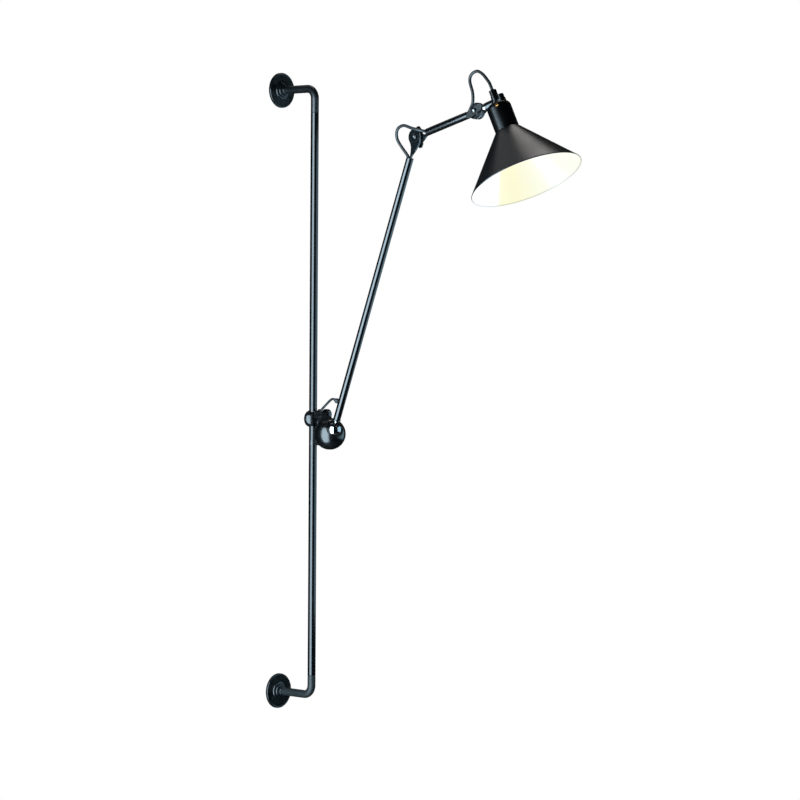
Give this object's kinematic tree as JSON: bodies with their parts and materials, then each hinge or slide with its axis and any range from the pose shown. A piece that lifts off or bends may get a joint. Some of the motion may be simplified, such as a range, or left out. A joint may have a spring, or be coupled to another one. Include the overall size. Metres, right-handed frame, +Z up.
{
  "type": "rail-mounted wall lamp",
  "caption": "Wall lamp with a clamp that slides on a vertical rail, a ball joint, jointed arms with friction elbows and a swivelling conical shade.",
  "frame": {"origin": "centre of the lower wall flange's back face, on the wall", "axes": "+Y into the wall, +Z up along the rail, +X to the right as seen facing the wall"},
  "size_m": [0.2174, 0.74, 1.278],
  "materials": {
    "wall_black": "satin black powder coat",
    "pipe_grey": "satin black powder coat",
    "cast_black": "satin black over a casting",
    "tube_black": "satin black enamel on tube",
    "ball_black": "black chrome, polished",
    "bright_steel": "bright turned steel",
    "nut_black": "black oxide",
    "nylon": "natural nylon",
    "rubber_black": "matt",
    "cord_grey": "woven textile over a flex",
    "cup_black": "satin black enamel",
    "holder_cream": "moulded, heat resistant",
    "contact_brass": "plain brass",
    "shade_paint": "spun aluminium, satin black outside and white inside",
    "lamp_glass": "frosted glass, lit warm"
  },
  "bodies": {
    "wall_rail": {"lower_flange": "wall_black", "upper_flange": "wall_black", "flange_grub_screws": "bright_steel", "lower_end_pipe": "pipe_grey", "upper_end_pipe": "pipe_grey", "rail_tube": "wall_black", "rail_nipples": "bright_steel"},
    "slider": {"rail_bush": "nylon"},
    "carrier": {"clamp_barrel": "cast_black", "pinch_bolt": "nut_black", "clamp_washer": "bright_steel", "ball_housing": "cast_black", "socket_ring": "cast_black", "ball_seat": "nylon", "foot_gland": "rubber_black", "inlet_grommet": "rubber_black", "foot_cord": "cord_grey"},
    "knob": {"clamp_knob": "cast_black"},
    "arm_foot": {"arm_ball": "ball_black"},
    "lower_arm": {"foot_ferrule": "tube_black", "lower_arm_tube": "tube_black", "arm_grommet": "rubber_black", "lower_arm_cable": "cord_grey", "lower_arm_plate": "cast_black", "elbow_1_bolt": "bright_steel", "elbow_1_washer": "rubber_black", "elbow_1_cord": "cord_grey"},
    "wing_1": {"elbow_1_wing_nut": "nut_black"},
    "upper_arm": {"upper_inner_plate": "cast_black", "upper_arm_tube": "tube_black", "upper_arm_cable": "cord_grey", "upper_outer_plate": "cast_black", "elbow_2_cord": "cord_grey"},
    "neck": {"neck_plate": "cast_black", "elbow_2_bolt": "bright_steel", "elbow_2_washer": "rubber_black", "neck_spacer": "bright_steel"},
    "wing_2": {"elbow_2_wing_nut": "nut_black"},
    "head": {"swivel_sleeve": "tube_black", "head_bracket": "cast_black", "cap_screw": "nut_black", "head_gland": "tube_black", "gland_bush": "rubber_black", "head_cup": "cup_black", "lamp_holder": "holder_cream", "holder_shell": "contact_brass", "centre_contact": "contact_brass", "shade_ring": "holder_cream", "shade": "shade_paint", "lamp_cap": "bright_steel", "lamp_bulb": "lamp_glass"}
  },
  "joints": [
    {"name": "carrier_slide", "type": "slide", "parent": "wall_rail", "child": "slider", "axis": [0, 0, 1], "range_m": [-0.47, 0.58]},
    {"name": "carrier_swivel", "type": "hinge", "parent": "slider", "child": "carrier", "pos_m": [0, -0.094, 0.5525], "axis": [0, 0, 1], "range_deg": [-80, 80]},
    {"name": "knob_turn", "type": "hinge", "parent": "carrier", "child": "knob", "pos_m": [0.02, -0.111, 0.561], "axis": [1, 0, 0], "range_deg": [-180, 180]},
    {"name": "foot_lean", "type": "hinge", "parent": "carrier", "child": "arm_foot", "pos_m": [-0.008, -0.1585, 0.5335], "axis": [1, 0, 0], "range_deg": [-9, 60], "deforming": ["foot_cord"]},
    {"name": "foot_twist", "type": "hinge", "parent": "arm_foot", "child": "lower_arm", "pos_m": [-0.008, -0.1585, 0.5335], "axis": [0, -0.3464, 0.9381], "range_deg": [-90, 90], "deforming": ["foot_cord"]},
    {"name": "elbow_1", "type": "hinge", "parent": "lower_arm", "child": "upper_arm", "pos_m": [-0.008, -0.36883, 1.103], "axis": [1, 0, 0], "range_deg": [-55, 60], "deforming": ["elbow_1_cord"]},
    {"name": "wing_nut_1", "type": "hinge", "parent": "lower_arm", "child": "wing_1", "pos_m": [0.001, -0.36883, 1.103], "axis": [1, 0, 0], "range_deg": [-180, 180]},
    {"name": "elbow_2", "type": "hinge", "parent": "upper_arm", "child": "neck", "pos_m": [-0.008, -0.52278, 1.14657], "axis": [1, 0, 0], "range_deg": [-75, 50], "deforming": ["elbow_2_cord"]},
    {"name": "wing_nut_2", "type": "hinge", "parent": "neck", "child": "wing_2", "pos_m": [-0.017, -0.52278, 1.14657], "axis": [1, 0, 0], "range_deg": [-180, 180]},
    {"name": "head_swivel", "type": "hinge", "parent": "neck", "child": "head", "pos_m": [-0.008, -0.56938, 1.16171], "axis": [0, -0.9511, 0.309], "range_deg": [-75, 75], "deforming": ["elbow_2_cord"]}
  ]
}
